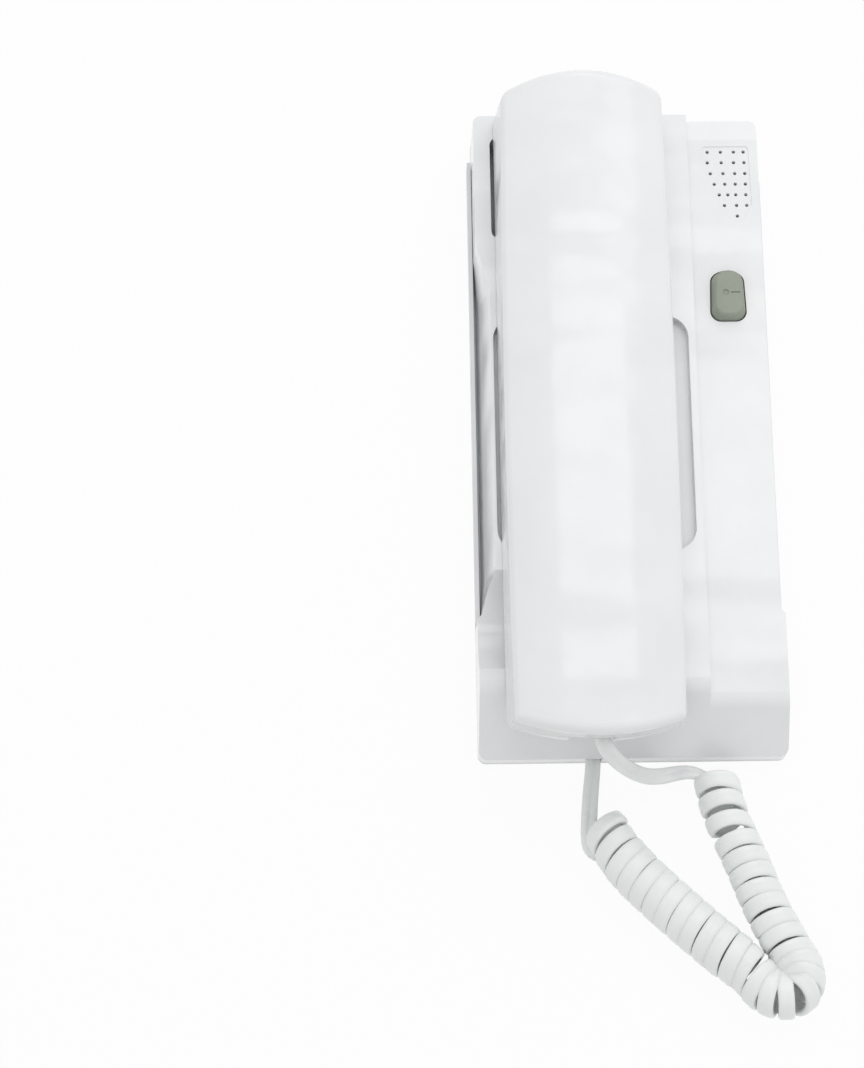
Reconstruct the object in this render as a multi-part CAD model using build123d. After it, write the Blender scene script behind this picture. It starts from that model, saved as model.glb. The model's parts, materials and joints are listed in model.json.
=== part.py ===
"""Audio intercom handset station, lying on its back, cord laid on the table.

Frame: +Z out of the face, +Y to the ear end, +X to the button side.
Origin: middle of the back plate's back face. Lengths in millimetres.
"""
import math
import os

from build123d import *

# whole unit
side_margin = 7.7
step_margin = 8.1
panel_w = 25.2
handset_half_mid = 26.5
handset_half_end = 26.4
base_width = side_margin + 2 * handset_half_mid + step_margin + panel_w
base_length = 202.0
cradle_top = 26.0
panel_drop = 4.0
panel_top = cradle_top - panel_drop
step_x = base_width / 2 - panel_w
overrun = 5.0
touch_gap = 0.2

# back plate
plate_thick = 2.2
skirt_thick = 1.2
skirt_gap = 0.15
left_skirt_height = 8.0
right_skirt_height = 6.5
left_skirt_short = 8.0
right_skirt_short = 15.0
slot_spacing = 140.0
slot_width = 4.4
slot_length = 9.0
slot_x = 4.0
slot_mid_y = 5.0
wire_window_w = 24.0
wire_window_l = 16.0
wire_window_y = 28.0

# front cover
wall = 2.0
liner = 1.6
left_lean = 0.1
right_lean = 1.5
corner_r = 2.5
scallop_depth_top = 4.2
scallop_depth_foot = 0.6
scallop_head_y = 58.5
scallop_high_y = 44.0
scallop_low_y = -46.5
scallop_tail_y = -58.5
skirt_end = -60.0
slope_round = 6.0
scallop_r = 9.0
slope_start = 18.3
slope_foot = 7.0
panel_bevel_run = 7.0
panel_bevel_drop = 1.4

# handset
handset_x = side_margin + handset_half_mid - base_width / 2
handset_top_y = 99.8
handset_top_bulge = 5.2
handset_low_y = -94.4
handset_low_bulge = 4.8
under_plate = 1.8
handset_side_top = 45.0
handset_crown = 52.5
handset_wall = 2.0
end_draw = 2.9
mid_draw = 1.5
low_overhang = 3.4
handset_top_r = 4.5
under_z = cradle_top + touch_gap
part_z = under_z + under_plate

# cradle pockets
ear_pocket_low = 59.8
ear_pocket_high = 93.6
ear_pocket_side = 26.0
ear_pocket_slit = 1.6
ear_pocket_floor = 15.5
well_high = 33.7
well_low = -41.0
well_out = 1.3
well_left = handset_x - handset_half_mid - well_out
well_step = 2.2
well_right = step_x - well_step
well_floor = 22.8
well_r = 7.0
seat_high = -46.5
seat_low = -77.0
seat_step = 8.8
seat_right = step_x - seat_step
seat_floor = 18.0

# ear and mouth cups
cup_wall = 1.8
cup_taper = 1.4
ear_cup_half = 22.0
ear_cup_length = 30.0
ear_cup_depth = 7.2
mouth_cup_half = 21.5
mouth_cup_length = 19.0
mouth_cup_depth = 5.8
cup_r = 6.0
ear_cup_y = (ear_pocket_low + ear_pocket_high) / 2
mouth_cup_y = (seat_high + seat_low) / 2

# grille and ringer
ringer_share = 0.456349
ringer_r = panel_w * ringer_share
ringer_height = 7.0
ringer_x_share = 0.365079
ringer_x = step_x + panel_w * ringer_x_share
ringer_y = 80.0
grille_hole_r = 0.55
grille_dish = 0.3

# rows of the sounder grille and its dish, in shares of the sounder's radius from its middle
grille_row_shares = [
    (0.8696, (-0.2087, 0.1565, 0.5130, 0.7826)),
    (0.5565, (-0.2174, 0.1652, 0.5043, 0.7913)),
    (0.2348, (-0.1478, 0.2000, 0.5217, 0.8000)),
    (-0.0783, (-0.0522, 0.2348, 0.5217, 0.8000)),
    (-0.3913, (0.0696, 0.3043, 0.5217, 0.8000)),
    (-0.7043, (0.2000, 0.5304, 0.8087)),
    (-1.0174, (0.5391,)),
]
dish_edge_shares = [
    (-0.3826, 1.0261),
    (0.9217, 1.0261),
    (0.9478, -0.6957),
    (0.6435, -1.2522),
    (0.4000, -1.2174),
    (-0.3652, 0.2609),
]

# release button
button_w_share = 0.43254
button_w = panel_w * button_w_share
button_l = 16.2
button_x_share = 0.440476
button_x = step_x + panel_w * button_x_share
button_y = 41.5
button_proud = 3.4
button_travel = 1.5
button_gap = 0.35
button_draft = 0.8
button_bevel = 0.5
button_flange = 1.2
button_flange_t = 1.2
button_stem_r = 2.0
button_corner = 3.4
button_narrow = 0.5
icon_depth = 0.35

# circuit board
board_left_in = 9.2
board_x0 = handset_x - board_left_in
board_edge_gap = 4.65
board_x1 = base_width / 2 - board_edge_gap - skirt_thick - skirt_gap
board_y0 = -30.0
board_y1 = 56.0
board_thick = 1.6
board_rise = 4.0
board_z = plate_thick + board_rise
board_top = board_z + board_thick

# hook
hook_x = handset_x
hook_y = 47.5
hook_post_w = 5.0
hook_post_l = 8.0
hook_gap = 0.35
hook_travel = 4.0
hook_flange = 1.6
hook_flange_t = 1.4

# cord
cord_d = 3.6
coil_od = 14.2
coil_pitch = 4.7
coil_turn_pitch = 9.2
coil_bend_r = 10.6
coil_left_run = 56.0
coil_right_run = 50.5
coil_start_x = -7.8
coil_start_y = -125.3
coil_left_angle = -45.3
coil_right_angle = 116.0

# derived places
half_l = base_length / 2
half_w = base_width / 2
cover_left = -half_w + skirt_thick + skirt_gap
cover_right = half_w - skirt_thick - skirt_gap
slope_y = -half_l + slope_start


def box(x0, x1, y0, y1, z0, z1):
    """Block between two corners."""
    block = Box(x1 - x0, y1 - y0, z1 - z0)
    return Pos((x0 + x1) / 2, (y0 + y1) / 2, (z0 + z1) / 2) * block


def cyl(radius, x, y, z0, z1):
    """Upright cylinder from z0 to z1."""
    return Pos(x, y, (z0 + z1) / 2) * Cylinder(radius, z1 - z0)


def ring(outer, inner, x, y, z0, z1):
    """Upright tube."""
    return cyl(outer, x, y, z0, z1) - cyl(inner, x, y, z0 - overrun, z1 + overrun)


def pad(width, length, radius, x, y, z):
    """Flat rounded rectangle at a height."""
    return Pos(x, y, z) * RectangleRounded(width, length, radius)


def rounded(width, length, radius, x, y, z0, z1):
    """Upright block with rounded corners."""
    return extrude(pad(width, length, radius, x, y, z0), z1 - z0)


def save(shape, name):
    """Write one node."""
    export_step(shape, "parts/" + name + ".step")


def group(solids):
    """Separate solids kept in one node."""
    return Compound(children=[s for one in solids for s in one.solids()])


# front cover
def cover_outline(z, inset, left, right, depth):
    """Plan of the cover at one height: its left wall has the finger relief."""
    x0 = left + inset
    x1 = right - inset
    y1 = half_l - inset
    y0 = -half_l + inset
    out = skirt_thick + skirt_gap
    line = Polyline(
        (x0 - out, y0),
        (x1 + out, y0),
        (x1 + out, skirt_end),
        (x1, skirt_end + out),
        (x1, y1),
        (x0, y1),
        (x0, scallop_head_y),
        (x0 + depth, scallop_high_y),
        (x0 + depth, scallop_low_y),
        (x0, scallop_tail_y),
        (x0 - out, skirt_end),
        close=True,
    )
    face = make_face(line)
    corners = face.vertices()
    outer = [v for v in corners if abs(abs(v.Y) - y1) < touch_gap]
    relief = [v for v in corners if scallop_low_y - touch_gap < v.Y < scallop_head_y + touch_gap]
    face = fillet(outer, max(corner_r - inset, corner_r / overrun))
    picks = [min(face.vertices(), key=lambda v: (v.center() - r.center()).length) for r in relief]
    face = fillet(picks, scallop_r)
    return Pos(0, 0, z) * face


def cover_block(inset, z0, z1, drop):
    """Cover as a solid, its walls drawn in by a wall and its top dropped."""
    low = cover_outline(z0, inset, cover_left, cover_right, scallop_depth_foot)
    high = cover_outline(z1, inset, cover_left + left_lean, cover_right - right_lean, scallop_depth_top)
    solid = loft([low.face(), high.face()], ruled=True)
    panel = panel_top - drop
    cut_x = step_x - drop
    solid -= box(cut_x, half_w + overrun, -half_l - overrun, half_l + overrun, panel, z1 + overrun)
    return solid


def slope_cut(drop):
    """Wedge that takes off the lower end above the slope."""
    run = slope_start
    rise = cradle_top - slope_foot
    long = math.hypot(run, rise)
    shift_y = drop * rise / long
    shift_z = drop * run / long
    far = overrun + base_width
    k = rise / run
    y_a = -half_l - overrun
    z_a = slope_foot - overrun * k
    y_b = slope_y + overrun
    z_b = cradle_top + overrun * k
    pts = [(y_a, z_a), (y_b, z_b), (y_b, far), (y_a, far)]
    moved = [(y + shift_y, z - shift_z) for y, z in pts]
    face = Plane.YZ * make_face(Polyline(*moved, close=True))
    wedge = extrude(face, base_width, both=True)
    return wedge


def panel_bevel():
    """Shallow wedge off the panel's upper end."""
    y0 = half_l - panel_bevel_run
    z1 = panel_top + overrun
    pts = [
        (y0, panel_top),
        (y0, z1),
        (half_l + panel_bevel_run, z1),
        (half_l + panel_bevel_run, panel_top - panel_bevel_drop - panel_bevel_drop),
    ]
    face = Plane.YZ.offset(step_x) * make_face(Polyline(*pts, close=True))
    return extrude(face, base_width)


def pocket_box(grow, low, high, left, right, floor, radius):
    """Space of a cradle pocket, or its liner when grown."""
    width = right - left + 2 * grow
    length = high - low + 2 * grow
    x = (left + right) / 2
    y = (low + high) / 2
    top = cradle_top if grow else cradle_top + overrun
    return rounded(width, length, radius + grow, x, y, floor - grow, top)


def ear_pocket(grow):
    left = handset_x - ear_pocket_side - ear_pocket_slit
    right = handset_x + ear_pocket_side
    return pocket_box(grow, ear_pocket_low, ear_pocket_high, left, right, ear_pocket_floor, corner_r)


def well(grow):
    return pocket_box(grow, well_low, well_high, well_left, well_right, well_floor, well_r)


def seat(grow):
    """Mouth seat: a shallow round trough, open at the left side."""
    half = (seat_high - seat_low) / 2
    depth = cradle_top - seat_floor
    radius = (half * half + depth * depth) / (2 * depth)
    z = seat_floor + radius
    left = cover_left - overrun
    right = seat_right + grow
    length = right - left
    round_bar = Cylinder(radius + grow, length, rotation=(0, 90, 0))
    bar = Pos((left + right) / 2, mouth_cup_y, z) * round_bar
    if grow:
        far = box(left, right, seat_low - grow, seat_high + grow, 0, cradle_top)
        return bar & far
    return bar


def grille_points():
    """Places of the ringer's holes: seven rows that narrow to the lower right."""
    return [
        (ringer_x + ringer_r * u, ringer_y + ringer_r * v)
        for v, us in grille_row_shares
        for u in us
    ]


def grille_dish_cut():
    """Shallow dish round the holes."""
    edge = [(ringer_x + ringer_r * u, ringer_y + ringer_r * v) for u, v in dish_edge_shares]
    face = make_face(Polyline(*edge, close=True))
    face = fillet(face.vertices(), corner_r / 2)
    return extrude(Pos(0, 0, panel_top - grille_dish) * face, overrun)


def button_outline(grow, z):
    """Plan of the release button: round above, squarer below."""
    w = button_w / 2 + grow
    l = button_l / 2 + grow
    shoulder = l - w * button_shoulder_share
    top = w - button_narrow
    edge = Line((-top, shoulder), (-w, -l)) + Line((-w, -l), (w, -l)) + Line((w, -l), (top, shoulder))
    edge += ThreePointArc((top, shoulder), (0, l), (-top, shoulder))
    face = make_face(edge)
    low = [v for v in face.vertices() if v.Y < 0]
    face = fillet(low, button_corner)
    high = [v for v in face.vertices() if v.Y > shoulder - touch_gap]
    face = fillet(high, button_corner)
    return Pos(button_x, button_y, z) * face


button_shoulder_share = 0.42

# fasteners and bosses
boss_r = 3.4
boss_pilot = 1.1
boss_pilot_top = 15.0
boss_in_left = 10.65
boss_in_right = 9.05
boss_low_in_left = 7.15
boss_low_in_right = 8.65
boss_left_y = 47.0
boss_right_y = 62.5
boss_low_up = 13.5
boss_spots = [
    (cover_left + boss_in_left, boss_left_y),
    (cover_right - boss_in_right, boss_right_y),
    (cover_left + boss_low_in_left, boss_low_up - half_l),
    (cover_right - boss_low_in_right, boss_low_up - half_l),
]
case_head_r = 2.8
case_head_t = 1.2
case_shank_r = 1.4
case_screw_len = 11.0
head_gap = 0.3
recess_depth = 0.7
recess_r = 1.0
board_screw_in = 4.0
board_screw_in_left = 3.2
board_screw_in_high = 3.0
board_screw_in_top = 3.4
board_screw_spots = [
    (board_x0 + board_screw_in_left, board_y0 + board_screw_in),
    (board_x1 - board_screw_in, board_y0 + board_screw_in),
    (board_x0 + board_screw_in_high, board_y1 - board_screw_in_top),
    (board_x1 - board_screw_in, board_y1 - board_screw_in_top),
]
board_head_r = 2.4
board_head_t = 1.6
board_shank_r = 1.0
board_screw_len = 5.0
standoff_r = 3.0

# push switch under the release button
switch_w = 8.0
switch_t = 5.2
plunger_r = 1.5
plunger_gap = 0.1
plunger_sink = 1.9
stem_clear = 2.0
stem_bottom = board_top + switch_t + stem_clear

# hook switch
hook_top = under_z - touch_gap / 2
hook_bottom = 16.6
hook_flange_top = cradle_top - wall - hook_travel - touch_gap
micro_w = 6.4
micro_l = 20.0
micro_h = 6.5
lever_t = 0.5
lever_w = 4.4
lever_reach = 10.2
lever_pin_r = 0.8
lever_pin_gap = 0.08
lever_pin_y = hook_y - lever_reach
lever_pin_rise = 1.35
lever_pin_z = board_top + micro_h + lever_pin_rise

# ringer
ringer_top = panel_top - wall - touch_gap / 2
ringer_pot_r = 6.0
ringer_pot_t = 2.2
ringer_lip = 1.6
clip_w = 3.0

# terminal block
term_x = 4.0
term_y = 16.0
term_w = 20.0
term_l = 8.0
term_h = 7.4
term_count = 4
term_screw_r = 1.5
term_screw_t = 1.2


def cover_shell():
    """Thin cover with pocket liners, before its holes."""
    outer = cover_block(0, plate_thick, cradle_top, 0) - slope_cut(0)
    crest = [
        e
        for e in outer.edges().filter_by(Axis.X)
        if e.center().Y < slope_y + wall and e.center().Z > panel_top - touch_gap and e.length > liner
    ]
    outer = fillet(crest, slope_round)
    outer -= panel_bevel()
    inner = cover_block(wall, plate_thick, cradle_top - wall, wall) - slope_cut(wall)
    shell = outer - inner
    for grown in (ear_pocket(liner), well(liner), seat(liner)):
        shell += grown & outer
    for x, y in boss_spots:
        shell += cyl(boss_r, x, y, plate_thick, cradle_top - wall / 2) & outer
    for open_space in (ear_pocket(0), well(0), seat(0)):
        shell -= open_space
    return shell


def ringer_seat():
    """Ring rib that centres the ringer under the grille."""
    top = panel_top - wall / 2
    low = ringer_top - ringer_height / 2
    rib = ring(ringer_r + ringer_lip, ringer_r + touch_gap, ringer_x, ringer_y, low, top)
    keep = box(step_x - wall / 2, half_w, -half_l, half_l - wall / 2, 0, panel_top - wall / 2)
    inside = cover_block(wall / 2, plate_thick, cradle_top, wall / 2)
    return rib & keep & inside


def front_cover():
    shell = cover_shell() + ringer_seat()
    shell -= cyl(ringer_r + touch_gap, ringer_x, ringer_y, 0, panel_top - wall)
    for x, y in grille_points():
        shell -= cyl(grille_hole_r, x, y, panel_top - wall - overrun, panel_top + overrun)
    shell -= grille_dish_cut()
    hole = extrude(button_outline(button_gap, panel_top - wall - overrun), wall + 2 * overrun)
    shell -= hole
    shell -= rounded(
        hook_post_w + 2 * hook_gap,
        hook_post_l + 2 * hook_gap,
        hook_gap + touch_gap,
        hook_x,
        hook_y,
        cradle_top - wall - overrun / 2,
        cradle_top + overrun,
    )
    for x, y in boss_spots:
        shell -= cyl(boss_pilot, x, y, plate_thick - overrun, boss_pilot_top)
    shell -= box(
        tail_x - cord_d / 2 - notch_gap,
        tail_x + cord_d / 2 + notch_gap,
        -half_l - overrun,
        -half_l + wall + overrun,
        plate_thick - overrun,
        tail_z + cord_d / 2 + notch_gap,
    )
    return shell


notch_gap = 0.5
tail_x = -12.0
tail_z = plate_thick + cord_d / 2 + notch_gap


def back_plate():
    """Flat plate with two low skirts, standoffs, slots and a wire window."""
    plate = rounded(base_width, base_length, corner_r, 0, 0, 0, plate_thick)
    plate &= box(-half_w, half_w, -half_l, half_l - left_skirt_short, 0, plate_thick)
    top_w = cover_right - cover_left
    plate += box(cover_left, cover_left + top_w, 0, half_l, 0, plate_thick)
    left_top = half_l - left_skirt_short
    right_top = half_l - right_skirt_short
    foot = scallop_tail_y + skirt_gap
    plate += box(-half_w, -half_w + skirt_thick, foot, left_top, 0, left_skirt_height)
    plate += box(half_w - skirt_thick, half_w, foot, right_top, 0, right_skirt_height)
    for x, y in board_screw_spots:
        plate += cyl(standoff_r, x, y, 0, board_z)
        plate -= cyl(board_shank_r, x, y, plate_thick, board_z + overrun)
    for x, y in boss_spots:
        plate -= cyl(case_shank_r + touch_gap, x, y, -overrun, plate_thick + overrun)
        plate -= cyl(case_head_r + head_gap, x, y, -overrun, case_head_t + touch_gap)
    for sign in (-1, 1):
        middle = Pos(slot_x, slot_mid_y + sign * slot_spacing / 2, 0)
        slot = middle * Rot(0, 0, 90) * SlotOverall(slot_length, slot_width)
        plate -= extrude(Pos(0, 0, -overrun) * slot, plate_thick + 2 * overrun)
    plate -= box(
        term_x - wire_window_w / 2,
        term_x + wire_window_w / 2,
        -wire_window_y - wire_window_l,
        -wire_window_y,
        -overrun,
        plate_thick + overrun,
    )
    return plate


def release_button():
    """Cap with drafted sides, an inside flange and a stem."""
    low = panel_top - wall - touch_gap - button_flange_t
    body = extrude(button_outline(0, low), panel_top - low)
    top_z = panel_top + button_proud
    cap = loft([button_outline(0, panel_top).face(), button_outline(-button_draft, top_z).face()], ruled=True)
    rim = cap.faces().sort_by(Axis.Z)[-1].edges()
    cap = chamfer(rim, button_bevel)
    body += cap
    body += extrude(button_outline(button_flange, low), button_flange_t)
    body += cyl(button_stem_r, button_x, button_y, stem_bottom, low + touch_gap)
    icon_z = top_z - icon_depth
    body -= cyl(key_bow, button_x - key_bow, button_y, icon_z, top_z + overrun)
    shank_x = button_x + key_line
    half_line = key_line / 2
    y0, y1 = button_y - half_line, button_y + half_line
    body -= box(shank_x, shank_x + key_shank, y0, y1, icon_z, top_z + overrun)
    return body


key_bow = 1.0
key_line = 0.6
key_shank = 2.8


def release_switch():
    base = rounded(switch_w, switch_w, touch_gap, button_x, button_y, board_top, board_top + switch_t)
    low = stem_bottom - plunger_sink - (stem_bottom - board_top - switch_t) - button_travel - touch_gap
    return base - cyl(plunger_r + plunger_gap, button_x, button_y, low, board_top + switch_t + overrun)


def release_plunger():
    low = board_top + switch_t - plunger_sink
    return cyl(plunger_r, button_x, button_y, low, stem_bottom)


def circuit_board():
    board = rounded(
        board_x1 - board_x0,
        board_y1 - board_y0,
        corner_r / 2,
        (board_x0 + board_x1) / 2,
        (board_y0 + board_y1) / 2,
        board_z,
        board_top,
    )
    for x, y in board_screw_spots:
        board -= cyl(board_shank_r + touch_gap, x, y, board_z - overrun, board_top + overrun)
    return board


def screw(x, y, z, head_r, head_t, shank_r, length, up):
    """Pan screw whose head lies at z, its shank going up or down."""
    way = 1 if up else -1
    ends = sorted((z, z + way * head_t))
    head = cyl(head_r, x, y, ends[0], ends[1])
    tips = sorted((z + way * head_t / 2, z + way * length))
    shank = cyl(shank_r, x, y, tips[0], tips[1])
    slot = sorted((z - way * overrun, z + way * head_t * screw_slot_share))
    cross = box(x - recess_r, x + recess_r, y - slot_half, y + slot_half, slot[0], slot[1])
    cross += box(x - slot_half, x + slot_half, y - recess_r, y + recess_r, slot[0], slot[1])
    return head + shank - cross


screw_slot_share = 0.45
slot_half = 0.3


def case_screws():
    z = touch_gap
    return group(
        screw(x, y, z, case_head_r, case_head_t, boss_pilot, case_screw_len, True) for x, y in boss_spots
    )


def board_screws():
    z = board_top + board_head_t
    return group(
        screw(x, y, z, board_head_r, board_head_t, board_shank_r, board_screw_len, False)
        for x, y in board_screw_spots
    )


def hook_plunger():
    """Post that the handset holds down, with a stop flange inside."""
    post = rounded(hook_post_w, hook_post_l, hook_gap, hook_x, hook_y, hook_bottom, hook_top)
    post += rounded(
        hook_post_w + 2 * hook_flange,
        hook_post_l + 2 * hook_flange,
        hook_gap,
        hook_x,
        hook_y,
        hook_flange_top - hook_flange_t,
        hook_flange_top,
    )
    return chamfer(post.faces().sort_by(Axis.Z)[-1].edges(), hook_gap)


def hook_switch():
    """Small switch body with two ears that carry the lever's pin."""
    y0 = lever_pin_y - lever_pin_r - touch_gap
    body = box(hook_x - micro_w / 2, hook_x + micro_w / 2, y0, y0 + micro_l, board_top, board_top + micro_h)
    for sign in (-1, 1):
        side = hook_x + sign * (micro_w / 2 - ear_t / 2)
        body += box(
            side - ear_t / 2,
            side + ear_t / 2,
            y0,
            lever_pin_y + lever_pin_r + ear_rim,
            board_top + micro_h,
            lever_pin_z + lever_pin_r + ear_rim,
        )
    bore = Cylinder(lever_pin_r + lever_pin_gap, micro_w + 2 * overrun, rotation=(0, 90, 0))
    return body - Pos(hook_x, lever_pin_y, lever_pin_z) * bore


ear_t = 0.8
ear_rim = 0.5


def hook_lever():
    """Springy strip on a cross pin; the post rests on its free end."""
    pin = Cylinder(lever_pin_r, micro_w, rotation=(0, 90, 0))
    lever = Pos(hook_x, lever_pin_y, lever_pin_z) * pin
    top = hook_bottom - touch_gap
    low = top - lever_t
    web = lever_w / 2
    lever += box(hook_x - web, hook_x + web, lever_pin_y, hook_y + web / 2, low, top)
    return lever


def terminal_block():
    """Screw terminal for the wires from the door."""
    block = box(
        term_x - term_w / 2,
        term_x + term_w / 2,
        term_y - term_l / 2,
        term_y + term_l / 2,
        board_top,
        board_top + term_h,
    )
    pitch = term_w / term_count
    for i in range(term_count):
        x = term_x - term_w / 2 + (i + 0.5) * pitch
        top = board_top + term_h
        block -= cyl(term_screw_r + touch_gap, x, term_y, top - term_h / 2, top + overrun)
        block -= box(
            x - pitch / 2 + term_rib,
            x + pitch / 2 - term_rib,
            term_y - term_l / 2 - overrun,
            term_y - term_l / 2 + term_mouth,
            board_top + term_rib,
            board_top + term_h / 2 - term_rib,
        )
    return block


term_rib = 0.9
term_mouth = 2.4


def terminal_screws():
    pitch = term_w / term_count
    z = board_top + term_h - touch_gap
    spots = [(term_x - term_w / 2 + (i + 0.5) * pitch, term_y) for i in range(term_count)]
    shank = term_h / 2 - touch_gap
    return group(
        screw(x, y, z, term_screw_r, term_screw_t, term_screw_r - term_screw_step, shank, False)
        for x, y in spots
    )


term_screw_step = 0.5


# parts on the board, in shares of its width and length from its lower left corner
can_shares = [(0.73016, 0.18605), (0.73016, 0.29070), (0.15873, 0.16279), (0.82540, 0.44186)]
chip_shares = [(0.41270, 0.25581), (0.28571, 0.11628), (0.47619, 0.11628), (0.63492, 0.69767)]
resistor_share = (0.66667, 0.51163)
can_r = 3.1
can_h = 7.6
low_can_r = 2.5
low_can_h = 6.4
chip_w = 9.8
chip_l = 6.4
chip_h = 3.2
small_chip_w = 4.6
small_chip_l = 2.4
small_chip_h = 4.4


def board_spot(across_share, along_share):
    """A place on the board."""
    return (
        board_x0 + (board_x1 - board_x0) * across_share,
        board_y0 + (board_y1 - board_y0) * along_share,
    )


def board_capacitors():
    """Upright round capacitors on the board."""
    sizes = [(can_r, can_h), (low_can_r, low_can_h), (can_r, can_h), (low_can_r, low_can_h)]
    return group(
        cyl(r, *board_spot(*share), board_top, board_top + h) for share, (r, h) in zip(can_shares, sizes)
    )


def board_chips():
    """Flat packages on the board: one long, three small."""
    blocks = []
    for i, share in enumerate(chip_shares):
        x, y = board_spot(*share)
        w, l, h = (small_chip_w, small_chip_l, small_chip_h) if i else (chip_w, chip_l, chip_h)
        blocks.append(box(x - w / 2, x + w / 2, y - l / 2, y + l / 2, board_top, board_top + h))
    return group(blocks)


def board_resistors():
    """A row of small lying parts."""
    rod = Cylinder(resistor_r, resistor_l, rotation=(0, 90, 0))
    x, y = board_spot(*resistor_share)
    steps = [i * resistor_pitch for i in range(resistor_count)]
    return group(Pos(x, y + step, board_top + resistor_r) * rod for step in steps)


resistor_r = 1.1
resistor_l = 6.2
resistor_pitch = 3.4
resistor_count = 4


def ringer_frame():
    """Round basket of the call sounder with its magnet pot below."""
    low = ringer_top - ringer_height
    basket = ring(ringer_r, ringer_r - ringer_lip, ringer_x, ringer_y, low + ringer_pot_t, ringer_top)
    basket += ring(ringer_r, ringer_pot_r, ringer_x, ringer_y, low + ringer_pot_t, low + 2 * ringer_pot_t)
    return basket


def ringer_magnet():
    low = ringer_top - ringer_height
    return cyl(ringer_pot_r, ringer_x, ringer_y, low, low + 2 * ringer_pot_t)


def ringer_diaphragm():
    """Shallow dished film in the basket's mouth."""
    z = ringer_top - film_drop
    disc = cyl(ringer_r - ringer_lip, ringer_x, ringer_y, z - film_t, z)
    dome = Pos(ringer_x, ringer_y, z - film_t) * Cone(ringer_pot_r, ringer_pot_r - dome_h, dome_h)
    return disc + Pos(0, 0, dome_h / 2) * dome


film_drop = 1.4
film_t = 0.4
dome_h = 1.0


def ringer_clips():
    """Three arms of the plate side that hold the ringer up."""
    low = ringer_top - ringer_height
    arms = []
    for angle in (60, 180, 300):
        x = ringer_x + (ringer_r - clip_w / 2) * math.cos(math.radians(angle))
        y = ringer_y + (ringer_r - clip_w / 2) * math.sin(math.radians(angle))
        arms.append(cyl(clip_w / 2, x, y, plate_thick, low + ringer_pot_t))
    return group(arms)


def cord_clamp():
    """Bar that pins the base end of the cord to the plate."""
    y1 = clamp_y + clamp_l / 2
    y0 = clamp_y - clamp_l / 2
    x0 = tail_x - clamp_w / 2
    x1 = tail_x + clamp_w / 2
    bar = box(x0, x1, y0, y1, plate_thick, plate_thick + clamp_h)
    bar -= box(tail_x - cord_d / 2, tail_x + cord_d / 2, y0 - overrun, y1 + overrun, 0, tail_z + cord_d / 2)
    for sign in (-1, 1):
        x = tail_x + sign * clamp_hole
        bar -= cyl(board_shank_r, x, clamp_y, 0, plate_thick + clamp_h + overrun)
    return bar


clamp_y = -91.0
clamp_l = 6.0
clamp_w = 18.0
clamp_h = 6.4
clamp_hole = 6.0


def clamp_screws():
    shank = clamp_h + board_head_t
    z = plate_thick + shank
    return group(
        screw(tail_x + sign * clamp_hole, clamp_y, z, board_head_r, board_head_t, board_shank_r, shank, False)
        for sign in (-1, 1)
    )


def cord_header():
    """Four way plug and socket on the board for the cord's wires."""
    return box(
        header_x - header_w / 2,
        header_x + header_w / 2,
        board_y0 + header_edge,
        board_y0 + header_edge + header_l,
        board_top,
        board_top + header_h,
    )


header_x = -7.6
header_w = 10.6
header_l = 5.8
header_h = 6.0
header_edge = 0.6
wire_r = 0.6
wire_pitch = 1.5


def run_tube(points, radii, radius):
    """Straight runs joined by tangent arcs, swept with a round section."""
    path = FilletPolyline(*points, radius=radii)
    start = Plane(origin=path @ 0, z_dir=path % 0)
    tube = sweep(start * Circle(radius), path=path)
    return tube, path


def corner_radii(points, share=0.45):
    """Largest arc that the two runs beside each corner allow."""
    out = []
    for a, b, c in zip(points, points[1:], points[2:]):
        u = Vector(*b) - Vector(*a)
        v = Vector(*c) - Vector(*b)
        half_turn = math.radians(u.get_angle(v)) / 2
        out.append(share * min(u.length, v.length) / math.tan(half_turn))
    return out


def fan_wires(name, starts, ends, mid_z, bow):
    """Thin wires side by side from one row of ends to another."""
    wires = []
    for i, (a, b) in enumerate(zip(starts, ends)):
        mid_y = (a[1] + b[1]) / 2
        mid_x = (a[0] + b[0]) / 2 + bow
        pts = [a, (mid_x, mid_y, mid_z), b]
        wires.append(run_tube(pts, corner_radii(pts), wire_r)[0])
    return group(wires)


def cord_wires():
    """Four conductors from the clamped end to the header."""
    starts = []
    ends = []
    for i in range(term_count):
        off = (i - (term_count - 1) / 2) * wire_pitch
        starts.append((tail_x + off * wire_squeeze_share, tail_inner_y + touch_gap, tail_z))
        header_face = board_y0 + header_edge - touch_gap
        ends.append((header_x + off * wire_spread_share, header_face, board_top + header_h / 2))
    return fan_wires("cord", starts, ends, plate_thick + board_rise + wire_r, 0)


wire_squeeze_share = 0.85
wire_spread_share = 1.5
tail_inner_y = -86.0


def ringer_wires():
    """Two leads from the magnet pot down to the board."""
    starts = []
    ends = []
    low = ringer_top - ringer_height
    for sign in (-1, 1):
        x = ringer_x + sign * wire_pitch
        starts.append((x, ringer_y - ringer_pot_r - touch_gap / 2, low + ringer_pot_t / 2))
        ends.append((x - lead_shift, board_y1 - header_l, board_top + wire_r))
    return fan_wires("ringer", starts, ends, board_top + wire_r + touch_gap, -lead_shift)


lead_shift = 1.2

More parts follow.
